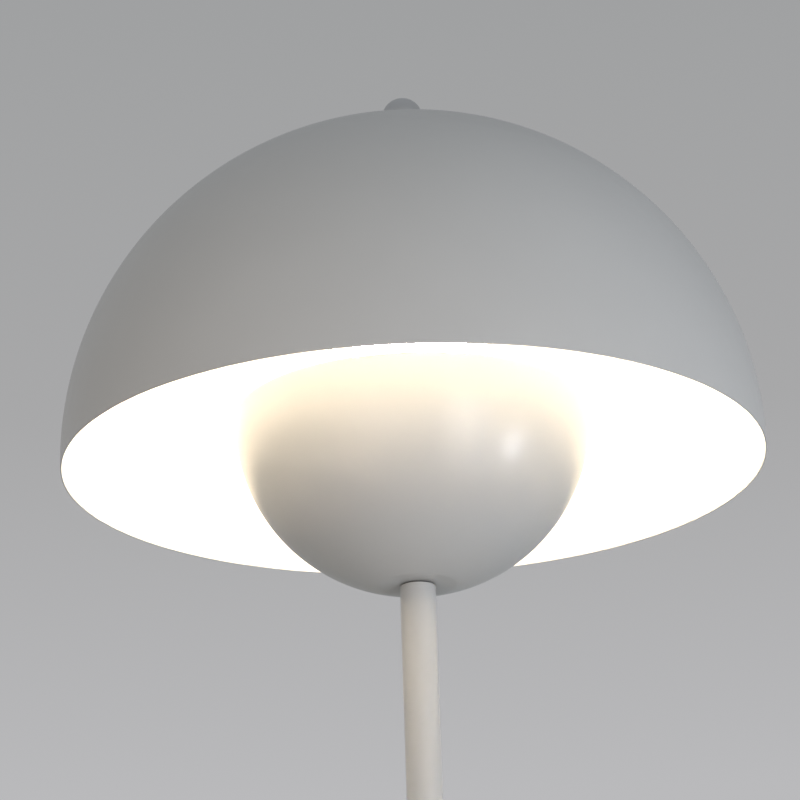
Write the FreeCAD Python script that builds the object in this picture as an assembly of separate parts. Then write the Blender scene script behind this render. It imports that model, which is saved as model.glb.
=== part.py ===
"""Mushroom floor lamp: a domed metal shade over a smaller upturned bowl on a slim round stem.

The stem's three screwed tubes stand on a weighted round base.  The bowl sits on the stem's top end
and hides the lampholder.  Three bent rods rise from a ring in the bowl, pass round the bulb and carry
a hub under the top of the shade, where a domed nut on a stud clamps the shade down.

Millimetres.  +Z is up, the stem's axis is the Z axis, and the origin is the centre of the underside,
on the floor.  The mains cord would leave the base at +Y.
"""
import FreeCAD, Part
import math
import os

Vector = FreeCAD.Vector
UP = Vector(0, 0, 1)

# ---------------------------------------------------------------- clearances
SNUG = 0.05            # radial play of a screwed or pressed fit
LOOSE = 0.3            # radial play of a hole that a screw or tube passes through
REST_GAP = 0.2         # paint and play between pieces that lift off or turn on each other

# ---------------------------------------------------------------- base
PAD_THICKNESS = 3.0
PAD_RADIUS = 131.0
PAD_CHAMFER = 0.8

BASE_RADIUS = 140.0
BASE_CROWN_Z = 28.0        # top of the cover, where the stem stands
BASE_SHOULDER_Z = 22.0     # height of the cover's outer edge before it is rounded
BASE_EDGE_ROUND = 8.0
COVER_WALL = 1.5
COVER_RIM_Z = 1.5
COVER_FLAT_RADIUS = 24.0   # flat seat on the crown

WEIGHT_SIDE_GAP = 2.0      # from the weight to the cover's side
WEIGHT_THICKNESS = 14.5
WEIGHT_CHAMFER = 3.0
BOSS_RADIUS = 22.0
BOSS_WEB = 6.0             # iron left between the nut and the cover
NUT_POCKET_RADIUS = 16.0

TERMINAL_WIDTH = 22.0
TERMINAL_LENGTH = 20.0
TERMINAL_HEIGHT = 9.0
TERMINAL_PITCH = 8.0
TERMINAL_START_Y = 44.0
TERMINAL_POCKET_DEPTH = 11.0
TERMINAL_POCKET_PLAY = 3.0
TERMINAL_SCREW_RADIUS = 1.6
TERMINAL_SCREW_DEPTH = 2.5
CHANNEL_WIDTH = 12.0
CHANNEL_DEPTH = 8.5

GLAND_Z = 9.0
GLAND_BORE_RADIUS = 3.2
GLAND_BODY_RADIUS = 4.6
GLAND_FLANGE_RADIUS = 6.5
GLAND_FLANGE_THICKNESS = 2.0
GLAND_BODY_LENGTH = 12.0
GLAND_NUT_FLATS = 12.0
GLAND_NUT_THICKNESS = 3.0
GLAND_RELIEF_WIDTH = 18.0
GLAND_RELIEF_LENGTH = 14.0

# ---------------------------------------------------------------- screwed lamp tube and its nuts
NIPPLE_RADIUS = 5.0
NIPPLE_BORE_RADIUS = 3.75
NIPPLE_SCREW_LENGTH = 16.0     # length held by the stem's bush
NIPPLE_PROUD = 0.5             # stands out past the base nut
BASE_WASHER_RADIUS = 12.0
BASE_WASHER_THICKNESS = 1.5
BASE_NUT_FLATS = 17.0
BASE_NUT_THICKNESS = 4.0

# ---------------------------------------------------------------- stem
TUBE_RADIUS = 9.0
TUBE_WALL = 1.2
TUBE_END_CHAMFER = 0.3
STEM_LOWER_LENGTH = 400.0
STEM_MIDDLE_LENGTH = 400.0
STEM_UPPER_LENGTH = 400.0
PLUG_LENGTH = 18.0
PLUG_BORE_RADIUS = 3.8
SPIGOT_RADIUS = 6.0
SPIGOT_LENGTH = 12.0
BUSH_LENGTH = 15.0

# ---------------------------------------------------------------- bowl and what clamps it
STEM_WASHER_RADIUS = 8.0
STEM_WASHER_THICKNESS = 0.6
BOWL_RADIUS = 91.0
BOWL_WALL = 1.0
BOWL_SKIRT = 3.0           # straight band under the bowl's rim
BOWL_FLAT_RADIUS = 20.0    # flat at the pole, where the stem meets the bowl
BOWL_DROP = 62.2           # from the shade's rim down to the bowl's pole
SPACER_RADIUS = 11.0
SPACER_THICKNESS = 6.0
LOCK_NUT_FLATS = 14.0
LOCK_NUT_THICKNESS = 4.0

# ---------------------------------------------------------------- shade
SHADE_RADIUS = 180.0
SHADE_WALL = 1.0
SHADE_SKIRT = 3.5          # straight band above the shade's rim
SHADE_FLAT_RADIUS = 15.0
SEAT_RADIUS = 14.0
SEAT_THICKNESS = 1.5

# ---------------------------------------------------------------- three-armed carrier
ARM_COUNT = 3
ARM_FIRST_ANGLE = 90.0
ARM_RADIUS = 2.0
ARM_BEND_RADIUS = 14.0
ARM_FOOT_RADIUS = 26.0     # distance from the axis where an arm stands in the ring
ARM_CAGE_RADIUS = 46.0     # distance from the axis beside the bulb
ARM_HEAD_RADIUS = 11.0     # distance from the axis where an arm enters the hub
ARM_FOOT_RISE = 12.0
ARM_LOWER_SLOPE_RISE = 32.0
ARM_UPPER_SLOPE_RISE = 49.0
ARM_NECK_RISE = 11.0
RING_RADIUS = 32.0
RING_THICKNESS = 2.5
HUB_RADIUS = 17.0
HUB_THICKNESS = 6.0
HUB_SKIN = 1.0             # metal left over the arms' blind holes
ARM_NUT_FLATS = 7.0
ARM_NUT_THICKNESS = 3.2
STUD_RADIUS = 3.0
STUD_REACH = 12.0          # length that stands above the finial's washer

# ---------------------------------------------------------------- finial
FINIAL_WASHER_RADIUS = 9.5
FINIAL_WASHER_THICKNESS = 1.0
FINIAL_RADIUS = 10.8
FINIAL_HEIGHT = 22.7
FINIAL_FOOT_RADIUS = 9.0
FINIAL_FOOT_HEIGHT = 1.6
FINIAL_FLARE = 1.4
FINIAL_BORE_DEPTH = 13.5

# ---------------------------------------------------------------- lampholder (E27)
HOLDER_RADIUS = 20.0
HOLDER_WALL = 1.5
HOLDER_BOSS_RADIUS = 8.0
HOLDER_BOSS_HEIGHT = 7.0
HOLDER_FLARE_TOP = 17.0
HOLDER_LEDGE_Z = 22.0
HOLDER_CAP_HEIGHT = 23.0
HOLDER_SHELL_HEIGHT = 34.0
HOLDER_STEP_RADIUS = 19.4
HOLDER_STEP_RISE = 4.0
HOLDER_LIP_THICKNESS = 2.5
HOLDER_LIP_PLAY = 0.6
HOLDER_LIP_CHAMFER = 1.0
HOLDER_BODY_THICKNESS = 8.0
SLEEVE_WALL = 0.6
SLEEVE_HEIGHT = 20.0
SLEEVE_FLANGE_BORE = 10.0
CONTACT_THICKNESS = 0.5
CONTACT_WIDTH = 7.0
CONTACT_REACH = 8.0
CONTACT_RISE = 2.4
HOLDER_TERMINAL_X = 5.0
HOLDER_TERMINAL_SIZE = 6.0
HOLDER_TERMINAL_HEIGHT = 5.0
HOLDER_SCREW_RADIUS = 2.0
HOLDER_SCREW_HEAD = 2.5
LEAD_INTO_TERMINAL = 3.0

# ---------------------------------------------------------------- bulb (E27, 60 mm pear)
LAMP_CAP_RADIUS = 13.1
LAMP_CAP_WALL = 0.5
LAMP_CAP_TAPER = 1.5
LAMP_CAP_TOP = 27.0        # from the tip to the cap's upper edge
INSULATOR_HEIGHT = 2.5
INSULATOR_TOP_RADIUS = 12.0
TIP_RADIUS = 4.5
TIP_FLAT_RADIUS = 3.0
TIP_HEIGHT = 2.0
BULB_RADIUS = 30.0
BULB_LENGTH = 107.0
BULB_NECK_RADIUS = 12.4
BULB_FLARE_ANGLE = 35.0
BULB_NECK_BLEND = 9.0
BULB_NECK_INSERT = 3.0     # glass that sits inside the cap
GLASS_WALL = 1.0
MOUNT_DISC_THICKNESS = 2.0
MOUNT_STEM_RADIUS = 3.5
MOUNT_STEM_HEIGHT = 20.0
MOUNT_BUTTON_RADIUS = 9.5
MOUNT_BUTTON_THICKNESS = 1.5
FILAMENT_COUNT = 4
FILAMENT_RADIUS = 1.1
FILAMENT_LENGTH = 34.0
FILAMENT_CIRCLE = 8.0

# ---------------------------------------------------------------- inner leads
LEAD_RADIUS = 1.0
LEAD_OFFSET = 2.0          # from the stem's axis, on each side
LEAD_Z = 8.8               # height of the run under the base nut
LEAD_RUN_BEND = 30.0
LEAD_FOOT_BEND = 4.5
LEAD_HEAD_BEND = 4.5
LEAD_SPREAD_START = 1.5    # above the lampholder's floor
LEAD_SPREAD_RISE = 4.0
LEAD_INTO_BLOCK = 5.0

# ================================================================ heights that follow
PAD_TOP = PAD_THICKNESS
BOSS_TOP = BASE_CROWN_Z - COVER_WALL
NUT_POCKET_ROOF = BOSS_TOP - BOSS_WEB
BASE_WASHER_Z = NUT_POCKET_ROOF - BASE_WASHER_THICKNESS
BASE_NUT_Z = BASE_WASHER_Z - BASE_NUT_THICKNESS
BASE_NIPPLE_Z = BASE_NUT_Z - NIPPLE_PROUD
TERMINAL_ROOF = PAD_TOP + TERMINAL_POCKET_DEPTH
TUBE_INNER_RADIUS = TUBE_RADIUS - TUBE_WALL

SEAM_LOWER_Z = BASE_CROWN_Z + STEM_LOWER_LENGTH
SEAM_UPPER_Z = SEAM_LOWER_Z + STEM_MIDDLE_LENGTH
STEM_TOP = SEAM_UPPER_Z + STEM_UPPER_LENGTH

BOWL_POLE = STEM_TOP + STEM_WASHER_THICKNESS
BOWL_CENTRE = BOWL_POLE + math.sqrt(BOWL_RADIUS**2 - BOWL_FLAT_RADIUS**2)
BOWL_RIM = BOWL_CENTRE + BOWL_SKIRT
BOWL_FLOOR = BOWL_POLE + BOWL_WALL
RING_Z = BOWL_FLOOR + SPACER_THICKNESS
RING_TOP = RING_Z + RING_THICKNESS
HOLDER_Z = RING_TOP + LOCK_NUT_THICKNESS
HOLDER_MOUTH = HOLDER_Z + HOLDER_CAP_HEIGHT + HOLDER_SHELL_HEIGHT
HOLDER_BODY_Z = HOLDER_Z + HOLDER_LEDGE_Z
HOLDER_BODY_TOP = HOLDER_BODY_Z + HOLDER_BODY_THICKNESS
SLEEVE_INNER_RADIUS = LAMP_CAP_RADIUS + LOOSE
CONTACT_TOP = HOLDER_BODY_TOP + CONTACT_THICKNESS + CONTACT_RISE
TIP_Z = CONTACT_TOP + REST_GAP

SHADE_RIM = BOWL_POLE + BOWL_DROP
SHADE_CENTRE = SHADE_RIM + SHADE_SKIRT
SHADE_TOP = SHADE_CENTRE + math.sqrt(SHADE_RADIUS**2 - SHADE_FLAT_RADIUS**2)
SHADE_UNDER_TOP = SHADE_TOP - SHADE_WALL
SEAT_Z = SHADE_UNDER_TOP - REST_GAP - SEAT_THICKNESS
HUB_TOP = SEAT_Z
HUB_Z = HUB_TOP - HUB_THICKNESS
FINIAL_WASHER_TOP = SHADE_TOP + FINIAL_WASHER_THICKNESS
STUD_TOP = FINIAL_WASHER_TOP + STUD_REACH
FINIAL_Z = FINIAL_WASHER_TOP + REST_GAP
FINIAL_TOP = FINIAL_Z + FINIAL_HEIGHT


# ================================================================ drawing helpers
def corner_arc(before, corner, after, radius):
    """First, middle and last point of the arc that rounds a corner and is tangent to both its sides."""
    back = (before - corner).normalize()
    ahead = (after - corner).normalize()
    half = back.getAngle(ahead) / 2
    setback = radius / math.tan(half)
    middle_way = (back + ahead).normalize()
    middle = corner + middle_way * (radius / math.sin(half) - radius)
    return corner + back * setback, middle, corner + ahead * setback


class Outline:
    """A half-section in (radius, height), drawn point by point and turned about the lamp's axis."""

    def __init__(self, radius, height):
        self.start = Vector(radius, 0, height)
        self.pen = self.start
        self.edges = []

    def line(self, radius, height):
        end = Vector(radius, 0, height)
        self.edges.append(Part.LineSegment(self.pen, end).toShape())
        self.pen = end
        return self

    def arc(self, middle, end):
        """An arc through the point `middle` to the point `end`, each (radius, height)."""
        middle = Vector(middle[0], 0, middle[1])
        end = Vector(end[0], 0, end[1])
        self.edges.append(Part.Arc(self.pen, middle, end).toShape())
        self.pen = end
        return self

    def rounded(self, corner, end, radius):
        """Straight towards `corner`, round it on a tangent arc, and straight on to `end`."""
        corner = Vector(corner[0], 0, corner[1])
        end = Vector(end[0], 0, end[1])
        arc_start, middle, arc_end = corner_arc(self.pen, corner, end, radius)
        self.edges.append(Part.LineSegment(self.pen, arc_start).toShape())
        self.edges.append(Part.Arc(arc_start, middle, arc_end).toShape())
        self.edges.append(Part.LineSegment(arc_end, end).toShape())
        self.pen = end
        return self

    def turn(self):
        self.line(self.start.x, self.start.z)
        face = Part.Face(Part.Wire(self.edges))
        return face.revolve(Vector(0, 0, 0), UP, 360)


def on_circle(centre_height, radius, degrees):
    """The point at an angle above the horizontal on a circle centred on the axis."""
    angle = math.radians(degrees)
    return radius * math.cos(angle), centre_height + radius * math.sin(angle)


def ring(outer, inner, height, thickness):
    """A flat washer or sleeve about the axis."""
    return Outline(inner, height).line(outer, height).line(outer, height + thickness).line(
        inner, height + thickness).turn()


def box_between(x_low, x_high, y_low, y_high, z_low, z_high):
    return Part.makeBox(x_high - x_low, y_high - y_low, z_high - z_low, Vector(x_low, y_low, z_low))


def rod(radius, length, start, direction):
    return Part.makeCylinder(radius, length, start, direction)


def hex_nut(flats, thickness, bore_radius, height):
    """A hexagon nut about the axis."""
    corner = flats / math.sqrt(3)
    points = [Vector(corner * math.cos(math.radians(60 * i)), corner * math.sin(math.radians(60 * i)), height)
              for i in range(7)]
    prism = Part.Face(Part.makePolygon(points)).extrude(Vector(0, 0, thickness))
    return prism.cut(rod(bore_radius, thickness, Vector(0, 0, height), UP))


def bent_rod(points, bend_radii, radius):
    """A round rod along straight runs joined by tangent arcs, one bend radius for each inner point."""
    edges = []
    pen = points[0]
    for before, corner, after, bend in zip(points, points[1:], points[2:], bend_radii):
        arc_start, middle, arc_end = corner_arc(before, corner, after, bend)
        edges.append(Part.LineSegment(pen, arc_start).toShape())
        edges.append(Part.Arc(arc_start, middle, arc_end).toShape())
        pen = arc_end
    edges.append(Part.LineSegment(pen, points[-1]).toShape())
    path = Part.Wire(edges)
    section = Part.Wire(Part.makeCircle(radius, points[0], points[1] - points[0]))
    return path.makePipeShell([section], True, False)


def rim_edges(shape, radius, height):
    """The circular edges of a turned solid at one radius and height."""
    found = []
    for edge in shape.Edges:
        curve = edge.Curve
        if isinstance(curve, Part.Circle) and abs(curve.Radius - radius) < 0.01:
            if abs(curve.Center.z - height) < 0.01:
                found.append(edge)
    return found


def around_axis(shape, count, first_angle=0.0):
    """Copies of a shape spaced evenly about the lamp's axis."""
    copies = []
    for i in range(count):
        copy = shape.copy()
        copy.rotate(Vector(0, 0, 0), UP, first_angle + 360 * i / count)
        copies.append(copy)
    return copies


# ================================================================ base
def cover_form(inset, bottom):
    """The base cover's outer form, or its hollow when inset by the wall."""
    radius = BASE_RADIUS - inset
    crown = (COVER_FLAT_RADIUS, BASE_CROWN_Z - inset)
    return Outline(0, bottom).line(radius, bottom).rounded(
        (radius, BASE_SHOULDER_Z - inset), crown, BASE_EDGE_ROUND - inset).line(
        0, BASE_CROWN_Z - inset).turn()


def base_cover():
    shell = cover_form(0, COVER_RIM_Z).cut(cover_form(COVER_WALL, COVER_RIM_Z - COVER_WALL))
    stem_hole = rod(NIPPLE_RADIUS + LOOSE, BASE_CROWN_Z, Vector(0, 0, 0), UP)
    gland_hole = rod(GLAND_BODY_RADIUS + LOOSE, BASE_RADIUS, Vector(0, BASE_RADIUS / 2, GLAND_Z), Vector(0, 1, 0))
    return shell.cut(stem_hole).cut(gland_hole)


def base_weight():
    """Cast-iron disc with a boss under the stem, pockets for the nut and terminals, and a cord channel."""
    outer = BASE_RADIUS - COVER_WALL - WEIGHT_SIDE_GAP
    top = PAD_TOP + WEIGHT_THICKNESS
    disc = Outline(NIPPLE_RADIUS + LOOSE, PAD_TOP).line(outer, PAD_TOP).line(
        outer, top - WEIGHT_CHAMFER).line(outer - WEIGHT_CHAMFER, top).line(BOSS_RADIUS, top).line(
        BOSS_RADIUS, BOSS_TOP).line(NIPPLE_RADIUS + LOOSE, BOSS_TOP).turn()
    nut_pocket = rod(NUT_POCKET_RADIUS, NUT_POCKET_ROOF - PAD_TOP, Vector(0, 0, PAD_TOP), UP)
    half_pocket = TERMINAL_WIDTH / 2 + TERMINAL_POCKET_PLAY
    pocket_end = TERMINAL_START_Y + TERMINAL_LENGTH + 2 * TERMINAL_POCKET_PLAY
    terminal_pocket = box_between(
        -half_pocket, half_pocket, TERMINAL_START_Y - TERMINAL_POCKET_PLAY, pocket_end, PAD_TOP, TERMINAL_ROOF)
    channel = box_between(-CHANNEL_WIDTH / 2, CHANNEL_WIDTH / 2, 0, outer, PAD_TOP, PAD_TOP + CHANNEL_DEPTH)
    relief = box_between(
        -GLAND_RELIEF_WIDTH / 2, GLAND_RELIEF_WIDTH / 2, BASE_RADIUS - GLAND_RELIEF_LENGTH, BASE_RADIUS,
        PAD_TOP, top)
    return disc.cut(nut_pocket).cut(terminal_pocket).cut(channel).cut(relief)


def base_pad():
    pad = Part.makeCylinder(PAD_RADIUS, PAD_THICKNESS)
    return pad.makeChamfer(PAD_CHAMFER, rim_edges(pad, PAD_RADIUS, 0))


def base_nipple():
    length = BASE_CROWN_Z + NIPPLE_SCREW_LENGTH - BASE_NIPPLE_Z
    return ring(NIPPLE_RADIUS, NIPPLE_BORE_RADIUS, BASE_NIPPLE_Z, length)


def cord_gland():
    """Flanged bush through the cover's side, bored for the cord."""
    back = Vector(0, 1, 0)
    start = Vector(0, BASE_RADIUS - GLAND_BODY_LENGTH, GLAND_Z)
    length = GLAND_BODY_LENGTH + GLAND_FLANGE_THICKNESS
    body = rod(GLAND_BODY_RADIUS, length, start, back)
    flange = rod(GLAND_FLANGE_RADIUS, GLAND_FLANGE_THICKNESS, Vector(0, BASE_RADIUS, GLAND_Z), back)
    return body.fuse(flange).removeSplitter().cut(rod(GLAND_BORE_RADIUS, length, start, back))


def gland_nut():
    """Nut on the gland, drawn up to the inside of the cover's curved side."""
    inner = BASE_RADIUS - COVER_WALL
    corner = GLAND_NUT_FLATS / math.sqrt(3)
    face_y = math.sqrt(inner**2 - corner**2)
    nut = hex_nut(GLAND_NUT_FLATS, GLAND_NUT_THICKNESS, GLAND_BODY_RADIUS + SNUG, 0)
    nut.rotate(Vector(0, 0, 0), Vector(1, 0, 0), 90)
    nut.translate(Vector(0, face_y, GLAND_Z))
    return nut


def terminal_sites():
    return [(side * TERMINAL_PITCH / 2, TERMINAL_START_Y + row * TERMINAL_LENGTH / 4)
            for side in (-1, 1) for row in (1, 3)]


def terminal_block():
    """Two-way block under the weight: wire holes along Y, screw wells from below."""
    bottom = TERMINAL_ROOF - TERMINAL_HEIGHT
    block = box_between(-TERMINAL_WIDTH / 2, TERMINAL_WIDTH / 2, TERMINAL_START_Y,
                        TERMINAL_START_Y + TERMINAL_LENGTH, bottom, TERMINAL_ROOF)
    for side in (-1, 1):
        start = Vector(side * TERMINAL_PITCH / 2, TERMINAL_START_Y, LEAD_Z)
        block = block.cut(rod(LEAD_RADIUS + SNUG, TERMINAL_LENGTH, start, Vector(0, 1, 0)))
    for x, y in terminal_sites():
        block = block.cut(rod(TERMINAL_SCREW_RADIUS + SNUG, TERMINAL_SCREW_DEPTH, Vector(x, y, bottom), UP))
    return block


def terminal_screws():
    bottom = TERMINAL_ROOF - TERMINAL_HEIGHT
    return Part.Compound([rod(TERMINAL_SCREW_RADIUS, TERMINAL_SCREW_DEPTH, Vector(x, y, bottom), UP)
                          for x, y in terminal_sites()])


# ================================================================ stem
def stem_tube(bottom, length):
    tube = ring(TUBE_RADIUS, TUBE_INNER_RADIUS, bottom, length)
    ends = rim_edges(tube, TUBE_RADIUS, bottom) + rim_edges(tube, TUBE_RADIUS, bottom + length)
    return tube.makeChamfer(TUBE_END_CHAMFER, ends)


def joint_plug(seam):
    """Plug pressed into the end of one tube, with a screwed spigot for the next."""
    return Outline(PLUG_BORE_RADIUS, seam - PLUG_LENGTH).line(
        TUBE_INNER_RADIUS - SNUG, seam - PLUG_LENGTH).line(TUBE_INNER_RADIUS - SNUG, seam).line(
        SPIGOT_RADIUS, seam).line(SPIGOT_RADIUS, seam + SPIGOT_LENGTH).line(
        PLUG_BORE_RADIUS, seam + SPIGOT_LENGTH).turn()


def joint_bush(seam):
    return ring(TUBE_INNER_RADIUS - SNUG, SPIGOT_RADIUS + SNUG, seam, BUSH_LENGTH)


def end_bush(bottom):
    """Bush at a stem end, screwed on to the nipple."""
    return ring(TUBE_INNER_RADIUS - SNUG, NIPPLE_RADIUS + SNUG, bottom, NIPPLE_SCREW_LENGTH)


# ================================================================ bowl
def bowl():
    """Upturned hemisphere with a straight band under its trimmed rim and a small flat at its pole."""
    inner = BOWL_RADIUS - BOWL_WALL
    inner_flat = math.sqrt(inner**2 - (BOWL_CENTRE - BOWL_FLOOR)**2)
    hole = NIPPLE_RADIUS + LOOSE
    return Outline(hole, BOWL_POLE).line(BOWL_FLAT_RADIUS, BOWL_POLE).arc(
        on_circle(BOWL_CENTRE, BOWL_RADIUS, -45), (BOWL_RADIUS, BOWL_CENTRE)).line(
        BOWL_RADIUS, BOWL_RIM).line(inner, BOWL_RIM).line(
        inner, BOWL_CENTRE).arc(on_circle(BOWL_CENTRE, inner, -45), (inner_flat, BOWL_FLOOR)).line(
        hole, BOWL_FLOOR).turn()


def head_nipple():
    bottom = STEM_TOP - NIPPLE_SCREW_LENGTH
    return ring(NIPPLE_RADIUS, NIPPLE_BORE_RADIUS, bottom, HOLDER_Z + HOLDER_BOSS_HEIGHT - bottom)


# ================================================================ carrier
def arm_path():
    """Points of one arm in the X-Z plane, from the ring, round the bulb, to the hub."""
    foot_top = RING_TOP + ARM_FOOT_RISE
    neck = HUB_Z - ARM_NECK_RISE
    profile = [
        (ARM_FOOT_RADIUS, RING_Z),
        (ARM_FOOT_RADIUS, foot_top),
        (ARM_CAGE_RADIUS, foot_top + ARM_LOWER_SLOPE_RISE),
        (ARM_CAGE_RADIUS, neck - ARM_UPPER_SLOPE_RISE),
        (ARM_HEAD_RADIUS, neck),
        (ARM_HEAD_RADIUS, HUB_TOP - HUB_SKIN),
    ]
    return [Vector(x, 0, z) for x, z in profile]


def carrier_arms():
    points = arm_path()
    arm = bent_rod(points, [ARM_BEND_RADIUS] * (len(points) - 2), ARM_RADIUS)
    return around_axis(arm, ARM_COUNT, ARM_FIRST_ANGLE)


def carrier_ring():
    plate = ring(RING_RADIUS, NIPPLE_RADIUS + LOOSE, RING_Z, RING_THICKNESS)
    hole = rod(ARM_RADIUS + SNUG, RING_THICKNESS, Vector(ARM_FOOT_RADIUS, 0, RING_Z), UP)
    for cutter in around_axis(hole, ARM_COUNT, ARM_FIRST_ANGLE):
        plate = plate.cut(cutter)
    return plate


def carrier_hub():
    disc = ring(HUB_RADIUS, STUD_RADIUS + SNUG, HUB_Z, HUB_THICKNESS)
    hole = rod(ARM_RADIUS + SNUG, HUB_THICKNESS - HUB_SKIN, Vector(ARM_HEAD_RADIUS, 0, HUB_Z), UP)
    for cutter in around_axis(hole, ARM_COUNT, ARM_FIRST_ANGLE):
        disc = disc.cut(cutter)
    return disc


def arm_nuts(distance, height):
    nut = hex_nut(ARM_NUT_FLATS, ARM_NUT_THICKNESS, ARM_RADIUS + SNUG, 0)
    nut.translate(Vector(distance, 0, height))
    return Part.Compound(around_axis(nut, ARM_COUNT, ARM_FIRST_ANGLE))


# ================================================================ shade and finial
def shade():
    """Hemisphere with a straight band down to its trimmed edge and a small flat round its top hole."""
    inner = SHADE_RADIUS - SHADE_WALL
    inner_flat = math.sqrt(inner**2 - (SHADE_UNDER_TOP - SHADE_CENTRE)**2)
    hole = STUD_RADIUS + 2 * LOOSE
    return Outline(hole, SHADE_TOP).line(SHADE_FLAT_RADIUS, SHADE_TOP).arc(
        on_circle(SHADE_CENTRE, SHADE_RADIUS, 45), (SHADE_RADIUS, SHADE_CENTRE)).line(
        SHADE_RADIUS, SHADE_RIM).line(inner, SHADE_RIM).line(inner, SHADE_CENTRE).arc(
        on_circle(SHADE_CENTRE, inner, 45), (inner_flat, SHADE_UNDER_TOP)).line(
        hole, SHADE_UNDER_TOP).turn()


def finial():
    """Domed nut: a narrow foot, a short flare, a straight band and a half-round top, bored for the stud."""
    dome_centre = FINIAL_TOP - FINIAL_RADIUS
    foot_top = FINIAL_Z + FINIAL_FOOT_HEIGHT
    bore = STUD_RADIUS + SNUG
    return Outline(bore, FINIAL_Z).line(FINIAL_FOOT_RADIUS, FINIAL_Z).line(
        FINIAL_FOOT_RADIUS, foot_top).line(FINIAL_RADIUS, foot_top + FINIAL_FLARE).line(
        FINIAL_RADIUS, dome_centre).arc(
        on_circle(dome_centre, FINIAL_RADIUS, 45), (0, FINIAL_TOP)).line(
        0, FINIAL_Z + FINIAL_BORE_DEPTH).line(bore, FINIAL_Z + FINIAL_BORE_DEPTH).turn()


# ================================================================ lampholder
def holder_cap():
    """Lower half of the lampholder, screwed on to the nipple by its boss."""
    z = HOLDER_Z
    inner = HOLDER_RADIUS - HOLDER_WALL
    ledge = inner - HOLDER_WALL
    floor = z + HOLDER_BOSS_HEIGHT + HOLDER_WALL
    return Outline(NIPPLE_RADIUS + SNUG, z).line(HOLDER_BOSS_RADIUS, z).line(
        HOLDER_BOSS_RADIUS, z + HOLDER_BOSS_HEIGHT).line(HOLDER_RADIUS, z + HOLDER_FLARE_TOP).line(
        HOLDER_RADIUS, z + HOLDER_CAP_HEIGHT).line(inner, z + HOLDER_CAP_HEIGHT).line(
        inner, z + HOLDER_LEDGE_Z).line(ledge, z + HOLDER_LEDGE_Z).line(
        ledge, z + HOLDER_FLARE_TOP).line(HOLDER_BOSS_RADIUS, floor).line(
        NIPPLE_RADIUS + SNUG, floor).turn()


def holder_shell():
    """Upper half of the lampholder, stepped in at its middle and lipped round the bulb's cap."""
    bottom = HOLDER_Z + HOLDER_CAP_HEIGHT
    step = bottom + HOLDER_STEP_RISE
    lip = SLEEVE_INNER_RADIUS + SLEEVE_WALL + HOLDER_LIP_PLAY
    inner = HOLDER_STEP_RADIUS - HOLDER_WALL
    shell = Outline(inner, bottom).line(HOLDER_RADIUS, bottom).line(HOLDER_RADIUS, step).line(
        HOLDER_STEP_RADIUS, step + HOLDER_RADIUS - HOLDER_STEP_RADIUS).line(
        HOLDER_STEP_RADIUS, HOLDER_MOUTH).line(lip, HOLDER_MOUTH).line(
        lip, HOLDER_MOUTH - HOLDER_LIP_THICKNESS).line(inner, HOLDER_MOUTH - HOLDER_LIP_THICKNESS).turn()
    return shell.makeChamfer(HOLDER_LIP_CHAMFER, rim_edges(shell, HOLDER_STEP_RADIUS, HOLDER_MOUTH))


def holder_body():
    radius = HOLDER_STEP_RADIUS - HOLDER_WALL - LOOSE
    return Part.makeCylinder(radius, HOLDER_BODY_THICKNESS, Vector(0, 0, HOLDER_BODY_Z))


def holder_sleeve():
    """Brass screw sleeve with a turned-in foot riveted to the insulating body."""
    outer = SLEEVE_INNER_RADIUS + SLEEVE_WALL
    z = HOLDER_BODY_TOP
    return Outline(SLEEVE_FLANGE_BORE, z).line(outer, z).line(outer, z + SLEEVE_HEIGHT).line(
        SLEEVE_INNER_RADIUS, z + SLEEVE_HEIGHT).line(SLEEVE_INNER_RADIUS, z + SLEEVE_WALL).line(
        SLEEVE_FLANGE_BORE, z + SLEEVE_WALL).turn()


def holder_contact():
    """Springy centre tongue: a foot on the body, a slope, and a raised tip under the bulb."""
    z = HOLDER_BODY_TOP
    t = CONTACT_THICKNESS
    half_tip = CONTACT_WIDTH / 4
    foot_end = -CONTACT_REACH / 2
    section = [
        (-CONTACT_REACH, z), (foot_end, z), (-half_tip, z + CONTACT_RISE), (CONTACT_WIDTH / 2, z + CONTACT_RISE),
        (CONTACT_WIDTH / 2, z + CONTACT_RISE + t), (-half_tip - t / 2, z + CONTACT_RISE + t),
        (foot_end - t / 2, z + t), (-CONTACT_REACH, z + t)]
    points = [Vector(x, -CONTACT_WIDTH / 2, height) for x, height in section]
    face = Part.Face(Part.makePolygon(points + points[:1]))
    return face.extrude(Vector(0, CONTACT_WIDTH, 0))


def holder_terminals():
    """Two brass blocks under the body, each bored from below for its lead."""
    half = HOLDER_TERMINAL_SIZE / 2
    low = HOLDER_BODY_Z - HOLDER_TERMINAL_HEIGHT
    blocks = []
    for x in (-HOLDER_TERMINAL_X, HOLDER_TERMINAL_X):
        block = box_between(x - half, x + half, -half, half, low, HOLDER_BODY_Z)
        blocks.append(block.cut(rod(LEAD_RADIUS + SNUG, LEAD_INTO_TERMINAL, Vector(x, 0, low), UP)))
    return Part.Compound(blocks)


def holder_screws():
    height = HOLDER_BODY_Z - HOLDER_TERMINAL_HEIGHT / 2
    start_y = -HOLDER_TERMINAL_SIZE / 2
    return Part.Compound([
        rod(HOLDER_SCREW_RADIUS, HOLDER_SCREW_HEAD, Vector(side * HOLDER_TERMINAL_X, start_y, height),
            Vector(0, -1, 0))
        for side in (-1, 1)])


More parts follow.
